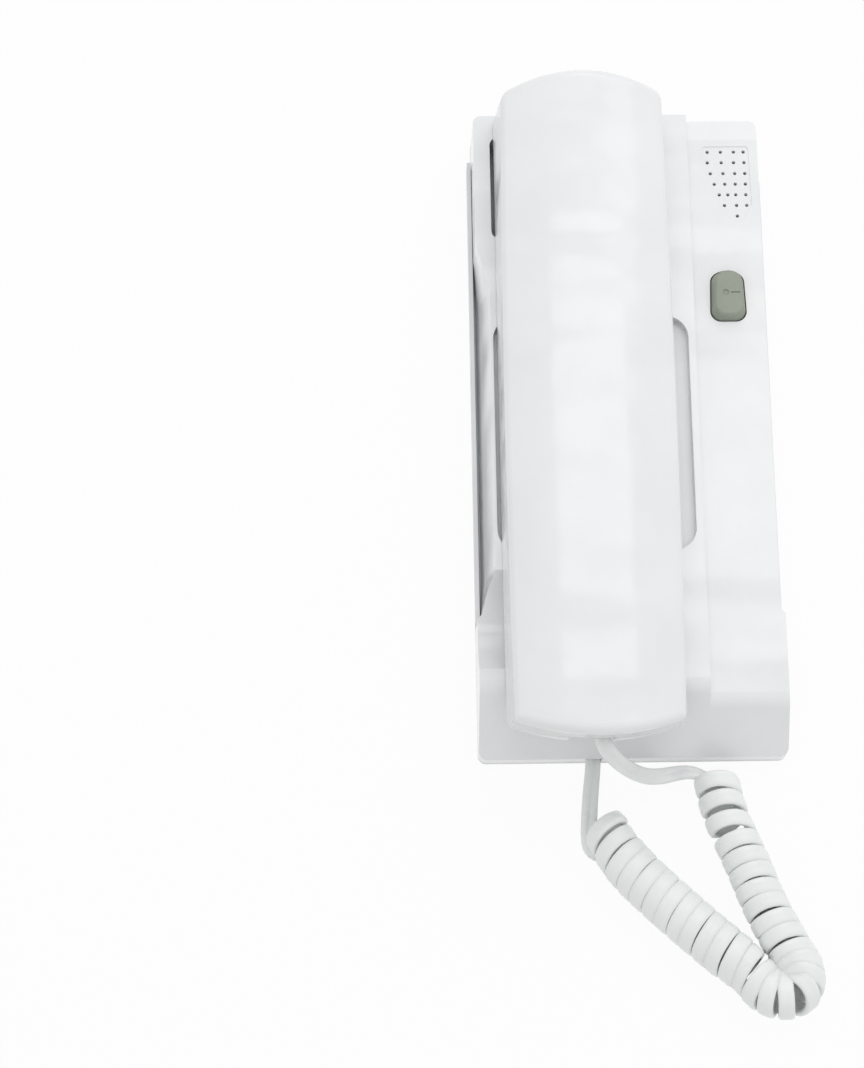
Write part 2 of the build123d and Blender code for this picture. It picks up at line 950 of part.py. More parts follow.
# handset inside
side_round = 2.8
lip_t = 1.2
lip_h = 2.6
lip_gap = 0.4
hand_boss_high = 46.0
hand_boss_low = -41.0
hand_boss_y = (hand_boss_high, hand_boss_low)
hand_screw_len = 12.0
weight_w = 17.0
weight_l = 60.0
weight_h = 6.0
weight_y = 2.0
receiver_r = 11.6
receiver_h = 7.6
gasket_t = 1.0
gasket_w = 2.6
mic_r = 4.85
mic_h = 5.6
boot_t = 1.2
hole_ear_r = 1.0
hole_ear_ring = 4.2
hole_ear_count = 6
hole_mouth_r = 0.8
hole_mouth_step = 3.2
plug_w = 7.6
plug_h = 6.6
plug_l = 11.6
plug_gap = 0.15
plug_x = handset_x
plug_front = -96.4
plug_rise = 5.2
plug_z = part_z + plug_rise
jack_wall = 1.6
jack_back = 2.2
notch_left = -21.3
notch_right = -7.8
notch_top = 37.6
lead_r = 0.55


def handset_outline(z, inset, lean):
    """Plan of the handset at one height: its sides draw in and its lower end hangs over as it rises."""
    end = handset_half_end - inset - lean * end_draw
    mid = handset_half_mid - inset - lean * mid_draw
    x0 = handset_x - end
    x1 = handset_x + end
    y1 = handset_top_y - inset
    y0 = handset_low_y + inset - lean * low_overhang
    centre = (y1 + y0) / 2
    edge = ThreePointArc((x0, y0), (handset_x - mid, centre), (x0, y1))
    edge += ThreePointArc((x0, y1), (handset_x, y1 + handset_top_bulge), (x1, y1))
    edge += ThreePointArc((x1, y1), (handset_x + mid, centre), (x1, y0))
    edge += ThreePointArc((x1, y0), (handset_x, y0 - handset_low_bulge), (x0, y0))
    face = make_face(edge)
    low = [v for v in face.vertices() if v.Y < centre]
    face = fillet(low, max(corner_r - inset / 2, corner_r / 2))
    high = [v for v in face.vertices() if v.Y > centre and abs(v.X - handset_x) > end - touch_gap]
    return Pos(0, 0, z) * fillet(high, handset_top_r - inset / 2)


def crown_bar(inset):
    """Long bar with the handset's crowned section."""
    half = handset_half_mid + overrun
    dip = (handset_crown - handset_side_top) * (half / handset_half_mid) ** 2
    low = part_z - overrun
    x0 = handset_x - half
    x1 = handset_x + half
    z0 = handset_crown - inset - dip
    edge = Line((x0, low), (x0, z0)) + ThreePointArc((x0, z0), (handset_x, handset_crown - inset), (x1, z0))
    edge += Line((x1, z0), (x1, low)) + Line((x1, low), (x0, low))
    return extrude(Plane.XZ * make_face(edge), base_length, both=True)


def handset_block(inset):
    low = handset_outline(part_z, inset, 0)
    high = handset_outline(handset_crown + overrun, inset, 1)
    return loft([low.face(), high.face()], ruled=True) & crown_bar(inset)


def notch_cut():
    """Opening in the handset's lower end for the plug and its cord."""
    far = handset_low_y - handset_low_bulge - overrun
    return box(notch_left, notch_right, far, plug_front + touch_gap, under_z - overrun, notch_top)


def handset_cover():
    """Outer half of the handset, with two screw posts."""
    outer = handset_block(0)
    least = (handset_top_y - handset_low_y) * long_edge_share
    long_edges = [e for e in outer.edges() if e.length > least and e.center().Z > part_z + side_round]
    outer = fillet(long_edges, side_round)
    shell = outer - handset_block(handset_wall)
    for y in hand_boss_y:
        post = cyl(boss_r, handset_x, y, part_z, handset_crown) & outer
        shell += post
    for y in hand_boss_y:
        shell -= cyl(boss_pilot, handset_x, y, part_z - overrun, part_z + hand_screw_len)
    return shell - notch_cut()


long_edge_share = 0.8


def cup(half, length, depth, y):
    """Tapered hollow boss on the handset's underside."""
    low = under_z - depth
    foot_w = 2 * half - 2 * cup_taper
    outer = loft(
        [
            pad(foot_w, length - 2 * cup_taper, cup_r - cup_taper, handset_x, y, low).face(),
            pad(2 * half, length, cup_r, handset_x, y, under_z + touch_gap).face(),
        ],
        ruled=True,
    )
    inner_half = half - cup_wall - cup_taper
    inner_len = length - 2 * cup_wall - 2 * cup_taper
    inner_r = cup_r - cup_wall - cup_taper / 2
    floor = low + cup_wall
    inner = rounded(2 * inner_half, inner_len, inner_r, handset_x, y, floor, part_z + overrun)
    return outer, inner


def handset_underside():
    """Inner half of the handset: flat grip with the ear and mouth cups."""
    body = extrude(handset_outline(under_z, 0, 0), under_plate)
    lip = extrude(handset_outline(part_z, handset_wall + lip_gap, 0), lip_h)
    lip -= extrude(handset_outline(part_z - overrun, handset_wall + lip_gap + lip_t, 0), lip_h + 2 * overrun)
    body += lip
    ear_out, ear_in = cup(ear_cup_half, ear_cup_length, ear_cup_depth, ear_cup_y)
    mouth_out, mouth_in = cup(mouth_cup_half, mouth_cup_length, mouth_cup_depth, mouth_cup_y)
    body = body + ear_out + mouth_out - ear_in - mouth_in
    for x, y, r in ear_holes() + mouth_holes():
        body -= cyl(r, x, y, under_z - ear_cup_depth - overrun, under_z)
    for y in hand_boss_y:
        body -= cyl(case_shank_r + touch_gap, handset_x, y, under_z - overrun, part_z + overrun)
        body -= cyl(case_head_r + head_gap, handset_x, y, under_z - overrun, under_z + case_head_t)
    body -= box(
        plug_x - jack_half() - touch_gap,
        plug_x + jack_half() + touch_gap,
        plug_front - touch_gap,
        plug_front + plug_l + jack_back + touch_gap,
        part_z,
        part_z + lip_h + overrun,
    )
    return body - notch_cut()


def jack_half():
    return plug_w / 2 + plug_gap + jack_wall


def ear_holes():
    spots = [(handset_x, ear_cup_y, hole_ear_r)]
    for i in range(hole_ear_count):
        a = 2 * math.pi * i / hole_ear_count
        x = handset_x + hole_ear_ring * math.cos(a)
        spots.append((x, ear_cup_y + hole_ear_ring * math.sin(a), hole_ear_r))
    return spots


def mouth_holes():
    return [(handset_x + i * hole_mouth_step, mouth_cup_y, hole_mouth_r) for i in (-1, 0, 1)]


def receiver_gasket():
    low = under_z - ear_cup_depth + cup_wall
    return ring(receiver_r, receiver_r - gasket_w, handset_x, ear_cup_y, low, low + gasket_t)


def receiver_case():
    low = under_z - ear_cup_depth + cup_wall + gasket_t
    can = cyl(receiver_r, handset_x, ear_cup_y, low, low + receiver_h)
    return can - cyl(receiver_r - lip_t, handset_x, ear_cup_y, low - overrun, low + receiver_h - lip_t)


def receiver_diaphragm():
    low = under_z - ear_cup_depth + cup_wall + gasket_t + film_drop
    return cyl(receiver_r - lip_t, handset_x, ear_cup_y, low, low + film_t)


def receiver_magnet():
    top = under_z - ear_cup_depth + cup_wall + gasket_t + receiver_h - lip_t
    return cyl(receiver_r / 2, handset_x, ear_cup_y, top - receiver_h / 2, top)


def microphone_boot():
    low = under_z - mouth_cup_depth + cup_wall
    return ring(mic_r + boot_t, mic_r, handset_x, mouth_cup_y, low, low + mic_h)


def microphone_capsule():
    low = under_z - mouth_cup_depth + cup_wall
    return cyl(mic_r, handset_x, mouth_cup_y, low, low + mic_h)


def handset_weight():
    """Steel bar that gives the handset its weight on the hook."""
    return rounded(weight_w, weight_l, corner_r / 2, handset_x, weight_y, part_z, part_z + weight_h)


def handset_screws():
    return group(
        screw(
            handset_x,
            y,
            under_z + touch_gap / 2,
            case_head_r,
            case_head_t - touch_gap,
            boss_pilot,
            hand_screw_len,
            True,
        )
        for y in hand_boss_y
    )


def handset_jack():
    """Socket behind the notch, open to the end."""
    half = jack_half()
    top = plug_z + plug_h / 2 + plug_gap + jack_wall
    y1 = plug_front + plug_l + jack_back
    body = box(plug_x - half, plug_x + half, plug_front + touch_gap, y1, part_z, top)
    cavity = box(
        plug_x - plug_w / 2 - plug_gap,
        plug_x + plug_w / 2 + plug_gap,
        plug_front - overrun,
        plug_front + plug_l + plug_gap,
        plug_z - plug_h / 2 - plug_gap,
        plug_z + plug_h / 2 + plug_gap,
    )
    return body - cavity


def plug_handset():
    """Modular plug with its contact slots and latch recess."""
    body = box(
        plug_x - plug_w / 2,
        plug_x + plug_w / 2,
        plug_front,
        plug_front + plug_l,
        plug_z - plug_h / 2,
        plug_z + plug_h / 2,
    )
    for i in range(term_count):
        x = plug_x + (i - (term_count - 1) / 2) * contact_pitch
        body -= box(
            x - contact_w / 2,
            x + contact_w / 2,
            plug_front + plug_l - contact_l,
            plug_front + plug_l + overrun,
            plug_z + plug_h / 2 - contact_d,
            plug_z + plug_h / 2 + overrun,
        )
    return body


contact_pitch = 1.25
contact_w = 0.6
contact_l = 4.0
contact_d = 1.2


def plug_contacts():
    """Four gold blades in the plug's slots."""
    blades = []
    for i in range(term_count):
        x = plug_x + (i - (term_count - 1) / 2) * contact_pitch
        blades.append(
            box(
                x - contact_w / 2,
                x + contact_w / 2,
                plug_front + plug_l - contact_l,
                plug_front + plug_l,
                plug_z + plug_h / 2 - contact_d,
                plug_z + plug_h / 2,
            )
        )
    return group(blades)


def handset_wires():
    """Two leads from the socket to the receiver and two to the microphone."""
    back = plug_front + plug_l + jack_back
    low = part_z + lead_r + touch_gap
    ear_top = under_z - ear_cup_depth + cup_wall + gasket_t + receiver_h
    wires = []
    for i in (0, 1):
        side = weight_w / 2 + 2 * lead_r + i * wire_pitch + touch_gap
        x0 = plug_x + (i + 0.5) * wire_pitch
        x1 = handset_x + side
        pts = [
            (x0, back + touch_gap, plug_z),
            (x0 + wire_pitch, back + wire_gap_y, plug_z),
            (x1, hand_boss_y[1] - boss_r, low + wire_pitch),
            (x1, hand_boss_y[0] + boss_r, low + wire_pitch),
            (
                handset_x + (i + 0.5) * wire_pitch,
                ear_cup_y - receiver_r + wire_gap_y,
                ear_top + lead_r + touch_gap / 2,
            ),
        ]
        wires.append(run_tube(pts, corner_radii(pts, wire_arc_share), lead_r)[0])
    for i in (0, 1):
        x0 = plug_x - (i + 0.5) * wire_pitch
        x1 = handset_x - (i + 0.5) * wire_pitch
        top = under_z - mouth_cup_depth + cup_wall + mic_h
        pts = [
            (x0, back + touch_gap, plug_z),
            (x0 - wire_pitch, (back + mouth_cup_y) / 2, plug_z - wire_pitch),
            (x1, mouth_cup_y - mic_r / 2, top + lead_r + touch_gap / 2),
        ]
        wires.append(run_tube(pts, corner_radii(pts, wire_arc_share), lead_r)[0])
    return group(wires)


wire_gap_y = 6.0
wire_arc_share = 0.3


# curly cord
coil_rho = coil_od / 2 - cord_d / 2
coil_z = coil_od / 2
quarters = 4
sample_step = 3


def heading(angle):
    return math.cos(math.radians(angle)), math.sin(math.radians(angle))


def axis_length():
    bend = math.radians(coil_right_angle - coil_left_angle) * coil_bend_r
    return coil_left_run + bend + coil_right_run


def coil_axis(s):
    """Point and heading of the coil's own axis at a length along it."""
    ux, uy = heading(coil_left_angle)
    bx = coil_start_x + coil_left_run * ux
    by = coil_start_y + coil_left_run * uy
    if s <= coil_left_run:
        return coil_start_x + s * ux, coil_start_y + s * uy, ux, uy
    bend = math.radians(coil_right_angle - coil_left_angle) * coil_bend_r
    cx = bx - coil_bend_r * uy
    cy = by + coil_bend_r * ux
    turn = min((s - coil_left_run) / coil_bend_r, bend / coil_bend_r)
    hx, hy = heading(coil_left_angle + math.degrees(turn))
    x = cx + coil_bend_r * hy
    y = cy - coil_bend_r * hx
    rest = max(0, s - coil_left_run - bend)
    return x + rest * hx, y + rest * hy, hx, hy


def bend_share(s):
    """How far a place is inside the bend: 0 on the legs, 1 in the bend."""
    bend = math.radians(coil_right_angle - coil_left_angle) * coil_bend_r
    centre = coil_left_run + bend / 2
    away = abs(s - centre) - bend / 2
    t = min(1, max(0, 1 - away / coil_pitch))
    return t * t * (3 - 2 * t)


def coil_turns():
    """Lengths along the axis at each small step of the winding angle."""
    total = axis_length()
    s = 0
    out = [0]
    step = 1 / (quarters * sample_step * sample_step)
    while s < total:
        pitch = coil_pitch + (coil_turn_pitch - coil_pitch) * bend_share(s)
        s += pitch * step
        out.append(s)
    return out, step


def coil_point(turns, step, k, start_angle):
    """Point of the wire's centre and its tangent at step k."""
    k = min(max(k, 0), len(turns) - 2)
    s = turns[k]
    rate = (turns[k + 1] - turns[k]) / (2 * math.pi * step)
    x, y, hx, hy = coil_axis(s)
    a = math.radians(start_angle) + 2 * math.pi * step * k
    nx = -hy
    ny = hx
    px = x + coil_rho * math.cos(a) * nx
    py = y + coil_rho * math.cos(a) * ny
    pz = coil_z + coil_rho * math.sin(a)
    inside = coil_left_run < s < axis_length() - coil_right_run
    squeeze = 1 - coil_rho * math.cos(a) / coil_bend_r if inside else 1
    tx = hx * rate * squeeze - coil_rho * math.sin(a) * nx
    ty = hy * rate * squeeze - coil_rho * math.sin(a) * ny
    tz = coil_rho * math.cos(a)
    return Vector(px, py, pz), Vector(tx, ty, tz).normalized()


def biarc(p0, t0, p1, t1):
    """Two arcs from one point and heading to another."""
    v = p1 - p0
    t = t0 + t1
    k = 2 * (1 - t0.dot(t1))
    d = (-v.dot(t) + math.sqrt(v.dot(t) ** 2 + k * v.dot(v))) / k
    mid = (p0 + t0 * d + p1 - t1 * d) * (1 / 2)
    first = Edge.make_tangent_arc(p0, t0, mid)
    return first, Edge.make_tangent_arc(mid, first % 1, p1)


coil_start_angle = -90.0


def coil_wire():
    """The whole winding: a straight end, biarcs of a quarter turn, a straight end."""
    turns, step = coil_turns()
    per_quarter = round(1 / (quarters * step))
    count = (len(turns) - 2) // per_quarter
    full = (count // quarters) * quarters + coil_end_quarters
    count = min(count, full) if full <= count else full - quarters
    knots = [coil_point(turns, step, i * per_quarter, coil_start_angle) for i in range(count + 1)]
    edges = []
    p0, t0 = knots[0]
    edges.append(Edge.make_line(p0 - t0 * cord_d, p0))
    for (a, ta), (b, tb) in zip(knots, knots[1:]):
        edges.extend(biarc(a, edges[-1] % 1, b, tb))
    p1 = edges[-1] @ 1
    t1 = edges[-1] % 1
    edges.append(Edge.make_line(p1, p1 + t1 * cord_d))
    return Wire(edges), knots


coil_end_quarters = 0


def coil_gap(wire):
    """Least gap of the winding to itself, measured on points."""
    count = round(wire.length / coil_sample)
    pts = [wire @ (i / count) for i in range(count + 1)]
    apart = round(math.pi * coil_rho / coil_sample)
    least = base_length
    far = round(2 * coil_od * math.pi * 2 / coil_sample)
    for i, p in enumerate(pts):
        for q in pts[i + apart : i + far]:
            gap = (p - q).length
            least = min(least, gap)
    return least - cord_d


coil_sample = 0.8


def cord_coil():
    wire, knots = coil_wire()
    start = Plane(origin=wire @ 0, z_dir=wire % 0)
    coil = sweep(start * Circle(cord_d / 2), path=wire)
    section = math.pi * cord_d**2 / 4
    share = coil.volume / (section * wire.length)
    print("coil: length", round(wire.length, 1), "volume share", round(share, 4))
    print("coil: turns", (len(knots) - 1) / quarters, "least gap", round(coil_gap(wire), 2))
    return coil, wire


def tail(points, name):
    """One free stretch of the cord."""
    radii = corner_radii(points)
    tube, path = run_tube(points, radii, cord_d / 2)
    section = math.pi * cord_d**2 / 4
    print(name, "radii", [round(r, 1) for r in radii], "length", round(path.length, 1))
    print(name, "volume share", round(tube.volume / (section * path.length), 4))
    return tube


# free stretches of the cord: points as chosen from the photograph
base_route = [(tail_x, -86.0, tail_z), (tail_x, -104.5, tail_z), (-20.4, -117.0, 2.4), (-22.4, -128.8, 1.9)]
base_route_last = 6.5
hand_route = [(plug_x, -112.4, plug_z), (-8.6, -120.0, 25.4), (-1.0, -119.6, 13.2), (7.6, -118.4, 5.2)]
hand_route_last = 9.0


def cord_base_tail(wire):
    end = wire @ 0
    back = end - (wire % 0) * base_route_last
    pts = base_route + [tuple(back), tuple(end)]
    return tail(pts, "base tail")


def cord_handset_tail(wire):
    end = wire @ 1
    back = end + (wire % 1) * hand_route_last
    pts = [(plug_x, plug_front, plug_z)] + hand_route + [tuple(back), tuple(end)]
    return tail(pts, "handset tail")


def main():
    os.makedirs("parts", exist_ok=True)
    save(back_plate(), "back_plate")
    save(front_cover(), "front_cover")
    save(release_button(), "release_button")
    save(release_switch(), "release_switch")
    save(release_plunger(), "release_plunger")
    save(circuit_board(), "circuit_board")
    save(board_capacitors(), "board_capacitors")
    save(board_chips(), "board_chips")
    save(board_resistors(), "board_resistors")
    save(board_screws(), "board_screws")
    save(case_screws(), "case_screws")
    save(hook_plunger(), "hook_plunger")
    save(hook_switch(), "hook_switch")
    save(hook_lever(), "hook_lever")
    save(terminal_block(), "terminal_block")
    save(terminal_screws(), "terminal_screws")
    save(ringer_frame(), "ringer_frame")
    save(ringer_magnet(), "ringer_magnet")
    save(ringer_diaphragm(), "ringer_diaphragm")
    save(ringer_clips(), "ringer_posts")
    save(ringer_wires(), "ringer_wires")
    save(cord_clamp(), "cord_clamp")
    save(clamp_screws(), "clamp_screws")
    save(cord_header(), "cord_header")
    save(cord_wires(), "cord_wires")
    save(handset_cover(), "handset_cover")
    save(handset_underside(), "handset_underside")
    save(receiver_gasket(), "receiver_gasket")
    save(receiver_case(), "receiver_case")
    save(receiver_diaphragm(), "receiver_diaphragm")
    save(receiver_magnet(), "receiver_magnet")
    save(microphone_boot(), "microphone_boot")
    save(microphone_capsule(), "microphone_capsule")
    save(handset_weight(), "handset_weight")
    save(handset_screws(), "handset_screws")
    save(handset_jack(), "handset_jack")
    save(handset_wires(), "handset_wires")
    save(plug_handset(), "plug_handset")
    save(plug_contacts(), "plug_contacts")
    coil, wire = cord_coil()
    save(coil, "cord_coil")
    save(cord_base_tail(wire), "cord_base_tail")
    save(cord_handset_tail(wire), "cord_handset_tail")


main()
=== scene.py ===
import json
import math

import bmesh
import bpy
from mathutils import Matrix, Vector


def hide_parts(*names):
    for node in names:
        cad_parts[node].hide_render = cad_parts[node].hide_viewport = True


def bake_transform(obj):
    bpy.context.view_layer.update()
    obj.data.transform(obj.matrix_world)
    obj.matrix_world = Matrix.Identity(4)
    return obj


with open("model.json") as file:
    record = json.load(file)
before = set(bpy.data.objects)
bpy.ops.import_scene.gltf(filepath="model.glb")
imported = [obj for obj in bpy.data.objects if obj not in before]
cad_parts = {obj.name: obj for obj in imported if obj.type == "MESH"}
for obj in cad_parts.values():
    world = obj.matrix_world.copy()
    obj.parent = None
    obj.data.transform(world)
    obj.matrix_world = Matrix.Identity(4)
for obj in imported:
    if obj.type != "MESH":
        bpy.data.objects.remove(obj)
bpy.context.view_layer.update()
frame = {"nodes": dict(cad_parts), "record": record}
MM = 0.001
UP = Vector((0, 0, 1))

# ---------------------------------------------------------------- camera
# Fitted to corners of the base, the handset and the panel in the photograph.
LENS = 86.1
SENSOR_WIDTH = 36.0
FAR_CLIP = 20.0
CAMERA_PLACE = Vector((-73.63, -236.73, 768.06)) * MM
CAMERA_RIGHT = Vector((0.99979, -0.01500, 0.01383))
CAMERA_DOWN = Vector((-0.01085, -0.96495, -0.26220))
CAMERA_AHEAD = Vector((0.01728, 0.26199, -0.96492))


def make_camera():
    data = bpy.data.cameras.new("camera")
    data.lens = LENS
    data.sensor_width = SENSOR_WIDTH
    data.clip_end = FAR_CLIP
    cam = bpy.data.objects.new("camera", data)
    bpy.context.scene.collection.objects.link(cam)
    turn = Matrix((CAMERA_RIGHT, -CAMERA_DOWN, -CAMERA_AHEAD)).transposed()
    cam.matrix_world = Matrix.Translation(CAMERA_PLACE) @ turn.to_4x4()
    bpy.context.scene.camera = cam


make_camera()

# ---------------------------------------------------------------- material nodes
EVEN = (1, 1, 1)


def new_material(name):
    mat = bpy.data.materials.new(name)
    mat.use_nodes = True
    nodes, links = mat.node_tree.nodes, mat.node_tree.links
    return mat, nodes, links, nodes["Principled BSDF"]


def object_coords(nodes, links, stretch=EVEN):
    coord = nodes.new("ShaderNodeTexCoord")
    mapping = nodes.new("ShaderNodeMapping")
    mapping.inputs["Scale"].default_value = stretch
    links.new(coord.outputs["Object"], mapping.inputs["Vector"])
    return mapping.outputs["Vector"]


def noise(nodes, links, vector, scale, detail, distortion=0.0):
    node = nodes.new("ShaderNodeTexNoise")
    node.inputs["Scale"].default_value = scale
    node.inputs["Detail"].default_value = detail
    node.inputs["Roughness"].default_value = 0.5
    node.inputs["Distortion"].default_value = distortion
    links.new(vector, node.inputs["Vector"])
    return node.outputs["Fac"]


def ramp(nodes, links, fac, low, high):
    """Colour over a factor, between two stops of a place and a linear colour."""
    node = nodes.new("ShaderNodeValToRGB")
    for element, (place, colour) in zip(node.color_ramp.elements, (low, high)):
        element.position = place
        element.color = (*colour, 1.0)
    links.new(fac, node.inputs["Fac"])
    return node.outputs["Color"]


def bump(nodes, links, height, strength, distance, normal=None):
    node = nodes.new("ShaderNodeBump")
    node.inputs["Strength"].default_value = strength
    node.inputs["Distance"].default_value = distance
    links.new(height, node.inputs["Height"])
    if normal is not None:
        links.new(normal, node.inputs["Normal"])
    return node.outputs["Normal"]


def srgb(r, g, b):
    """Linear colour from 0-255 screen values."""
    def one(v):
        v /= 255.0
        return v / 12.92 if v <= 0.04045 else ((v + 0.055) / 1.055) ** 2.4
    return (one(r), one(g), one(b))


def grey(value):
    return (value, value, value)


# ---------------------------------------------------------------- plastics and metals
TINT_SCALE = 55.0
SHEEN_SCALE = 240.0
SHEEN_DOWN = 0.03
SHEEN_UP = 0.05
SMOOTHEST = 0.02
GRAIN_DEPTH = 0.1 * MM
WAVE_DEPTH = 2.0 * MM
WAVE_STRETCH = (0.5, 2.2, 1.0)
WAVE_DISTORTION = 0.2
COAT_ROUGHNESS = 0.06
SCRATCH_SCALE = 900.0
SCRATCH_DEPTH = 0.05 * MM
SCRATCH_STRENGTH = 0.25
SCRATCH_ROUGHER = 0.15

# Slot: colour, darker patches, roughness, grain (strength, scale), sink waves (strength, scale), coat.
PLASTICS = {
    "white_gloss": ((241, 242, 243), (238, 239, 240), 0.14, (0.05, 1800.0), (0.4, 34.0), 0.0),
    "white_back": ((232, 233, 234), (226, 227, 229), 0.36, (0.35, 2600.0), None, 0.0),
    "button_grey": ((151, 157, 143), (144, 150, 137), 0.42, (0.5, 3000.0), None, 0.0),
    "black_plastic": ((34, 34, 36), (26, 26, 28), 0.4, (0.4, 2400.0), None, 0.0),
    "terminal_green": ((46, 122, 74), (38, 106, 64), 0.42, (0.35, 2400.0), None, 0.0),
    "ceramic_beige": ((206, 184, 146), (186, 162, 124), 0.45, (0.4, 2200.0), None, 0.0),
    "wire_red": ((176, 40, 34), (150, 32, 28), 0.4, (0.25, 2400.0), None, 0.0),
    "foam": ((44, 44, 46), (24, 24, 26), 0.9, (1.0, 1500.0), None, 0.0),
    "film": ((205, 200, 184), (190, 184, 166), 0.25, (0.1, 1500.0), (0.3, 160.0), 0.3),
}

# Slot: colour, darker scratches, roughness, stretch of the texture across the scratches.
METALS = {
    "contact_gold": ((232, 190, 104), (206, 160, 76), 0.22, (1, 8, 1)),
    "steel": ((196, 198, 202), (150, 152, 158), 0.28, (6, 1, 1)),
    "magnet_steel": ((128, 130, 136), (92, 94, 100), 0.34, (1, 6, 1)),
    "can_aluminium": ((204, 206, 210), (168, 170, 176), 0.3, (1, 1, 9)),
}


def plastic(name, colour, darker, rough, grain, waves, coat):
    """Moulded plastic: slow sink waves from the moulding, a fine grain and a faint uneven tint."""
    mat, nodes, links, bsdf = new_material(name)
    vec = object_coords(nodes, links)
    tint = noise(nodes, links, vec, TINT_SCALE, 3.0)
    tinted = ramp(nodes, links, tint, (0.35, srgb(*darker)), (0.62, srgb(*colour)))
    links.new(tinted, bsdf.inputs["Base Color"])
    grain_strength, grain_scale = grain
    normal = bump(nodes, links, noise(nodes, links, vec, grain_scale, 2.0), grain_strength, GRAIN_DEPTH)
    if waves:
        wave_strength, wave_scale = waves
        long_waves = object_coords(nodes, links, WAVE_STRETCH)
        slow = noise(nodes, links, long_waves, wave_scale, 0.0, WAVE_DISTORTION)
        normal = bump(nodes, links, slow, wave_strength, WAVE_DEPTH, normal)
    links.new(normal, bsdf.inputs["Normal"])
    spread = noise(nodes, links, vec, SHEEN_SCALE, 2.0)
    low, high = max(rough - SHEEN_DOWN, SMOOTHEST), rough + SHEEN_UP
    links.new(ramp(nodes, links, spread, (0.3, grey(low)), (0.7, grey(high))), bsdf.inputs["Roughness"])
    bsdf.inputs["Coat Weight"].default_value = coat
    bsdf.inputs["Coat Roughness"].default_value = COAT_ROUGHNESS
    return mat


def metal(name, colour, darker, rough, stretch):
    """Rolled or turned metal with fine scratches."""
    mat, nodes, links, bsdf = new_material(name)
    lines = noise(nodes, links, object_coords(nodes, links, stretch), SCRATCH_SCALE, 3.0)
    tinted = ramp(nodes, links, lines, (0.3, srgb(*darker)), (0.7, srgb(*colour)))
    worn = ramp(nodes, links, lines, (0.2, grey(rough)), (0.8, grey(rough + SCRATCH_ROUGHER)))
    links.new(tinted, bsdf.inputs["Base Color"])
    links.new(worn, bsdf.inputs["Roughness"])
    links.new(bump(nodes, links, lines, SCRATCH_STRENGTH, SCRATCH_DEPTH), bsdf.inputs["Normal"])
    bsdf.inputs["Metallic"].default_value = 1.0
    return mat


# ---------------------------------------------------------------- board, plug and cord materials
BOARD_ROUGHNESS = 0.34
WEAVE_SCALE = 420.0
WEAVE_GAP = 0.03
WEAVE_STRENGTH = 0.2
WEAVE_DEPTH = 0.05 * MM
PLUG_SCALE = 700.0
PLUG_CLEARNESS = 0.75
PLUG_IOR = 1.5
PVC_TINT_SCALE = 120.0
PVC_GRAIN_SCALE = 1600.0
PVC_GRAIN_STRENGTH = 0.12
PVC_SUBSURFACE = 0.15
PVC_REACH = 2.0 * MM


def board_material():
    """Fibreglass board: green resist over a faint weave."""
    mat, nodes, links, bsdf = new_material("board_green")
    weave = nodes.new("ShaderNodeTexBrick")
    weave.inputs["Scale"].default_value = WEAVE_SCALE
    weave.inputs["Color1"].default_value = (*srgb(30, 96, 54), 1)
    weave.inputs["Color2"].default_value = (*srgb(36, 108, 60), 1)
    weave.inputs["Mortar"].default_value = (*srgb(54, 134, 78), 1)
    weave.inputs["Mortar Size"].default_value = WEAVE_GAP
    links.new(object_coords(nodes, links), weave.inputs["Vector"])
    links.new(weave.outputs["Color"], bsdf.inputs["Base Color"])
    raised = bump(nodes, links, weave.outputs["Fac"], WEAVE_STRENGTH, WEAVE_DEPTH)
    links.new(raised, bsdf.inputs["Normal"])
    bsdf.inputs["Roughness"].default_value = BOARD_ROUGHNESS
    return mat


def clear_material():
    """Clear plug moulding."""
    mat, nodes, links, bsdf = new_material("clear_plug")
    fac = noise(nodes, links, object_coords(nodes, links), PLUG_SCALE, 2.0)
    tinted = ramp(nodes, links, fac, (0.3, (0.86, 0.88, 0.9)), (0.7, (0.95, 0.96, 0.97)))
    links.new(tinted, bsdf.inputs["Base Color"])
    links.new(ramp(nodes, links, fac, (0.2, grey(0.08)), (0.8, grey(0.16))), bsdf.inputs["Roughness"])
    bsdf.inputs["Transmission Weight"].default_value = PLUG_CLEARNESS
    bsdf.inputs["IOR"].default_value = PLUG_IOR
    return mat


def cord_material():
    """Soft pale PVC with a waxy sheen, which lets a little light in."""
    mat, nodes, links, bsdf = new_material("cord_pvc")
    vec = object_coords(nodes, links)
    tint = noise(nodes, links, vec, PVC_TINT_SCALE, 3.0)
    fine = noise(nodes, links, vec, PVC_GRAIN_SCALE, 2.0)
    tinted = ramp(nodes, links, tint, (0.3, srgb(240, 243, 242)), (0.7, srgb(245, 248, 247)))
    links.new(tinted, bsdf.inputs["Base Color"])
    links.new(bump(nodes, links, fine, PVC_GRAIN_STRENGTH, GRAIN_DEPTH), bsdf.inputs["Normal"])
    links.new(ramp(nodes, links, tint, (0.3, grey(0.26)), (0.7, grey(0.36))), bsdf.inputs["Roughness"])
    bsdf.inputs["Subsurface Weight"].default_value = PVC_SUBSURFACE
    bsdf.inputs["Subsurface Radius"].default_value = grey(PVC_REACH)
    bsdf.inputs["Subsurface Scale"].default_value = 1.0
    return mat


MATS = {slot: plastic(slot, *row) for slot, row in PLASTICS.items()}
MATS.update({slot: metal(slot, *row) for slot, row in METALS.items()})
MATS["board_green"] = board_material()
MATS["clear_plug"] = clear_material()
MATS["cord_pvc"] = cord_material()


def dress_nodes():
    """Give each node the material of its slot in the record."""
    for part in frame["record"]["subparts"]:
        obj = frame["nodes"][part["node"]]
        slot_name = part["material_slot"]
        obj.data.materials.clear()
        obj.data.materials.append(MATS[slot_name])


dress_nodes()


